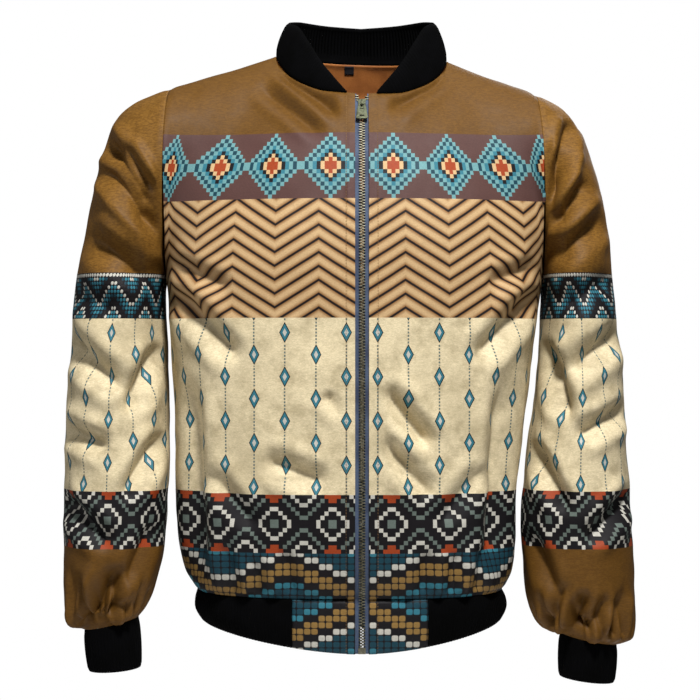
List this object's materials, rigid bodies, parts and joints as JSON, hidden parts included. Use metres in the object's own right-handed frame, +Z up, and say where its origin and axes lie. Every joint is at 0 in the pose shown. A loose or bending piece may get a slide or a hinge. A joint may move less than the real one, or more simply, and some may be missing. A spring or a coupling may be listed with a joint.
{
  "type": "bomber jacket",
  "caption": "Zipped bomber jacket in hollow worn form, with rib-knit collar, cuffs and hem and a beadwork-style print.",
  "frame": {"origin": "middle of the neck, level with the collar seam at the side of the neck, where the wearer carries the jacket", "axes": "+Z up through the neck, the zipped front faces -Y, +X to the right as seen from the front"},
  "size_m": [0.6506, 0.272, 0.7613],
  "materials": {
    "printed_shell": "smooth woven polyester with a soft sheen and an all-over print",
    "black_rib": "matte rib knit",
    "lining": "smooth woven lining",
    "label": "bare woven label",
    "zip_tape": "herringbone woven tape",
    "zip_teeth": "pale polished metal teeth",
    "zip_metal": "antique brass"
  },
  "bodies": {
    "jacket": {"front_left": "printed_shell", "front_right": "printed_shell", "back": "printed_shell", "sleeve_left": "printed_shell", "sleeve_right": "printed_shell", "hem_tab_left": "printed_shell", "hem_tab_right": "printed_shell", "collar": "black_rib", "cuff_left": "black_rib", "cuff_right": "black_rib", "hem_band": "black_rib", "back_lining": "lining", "size_label": "label", "zip_tape_left": "zip_tape", "zip_tape_right": "zip_tape", "zip_chain": "zip_teeth", "zip_slider": "zip_metal"},
    "pull": {"zip_pull": "zip_metal"}
  },
  "joints": [
    {"name": "pull_swing", "type": "hinge", "parent": "jacket", "child": "pull", "pos_m": [0, -0.09433, -0.05894], "axis": [-1, 0, 0], "range_deg": [0, 150]}
  ]
}
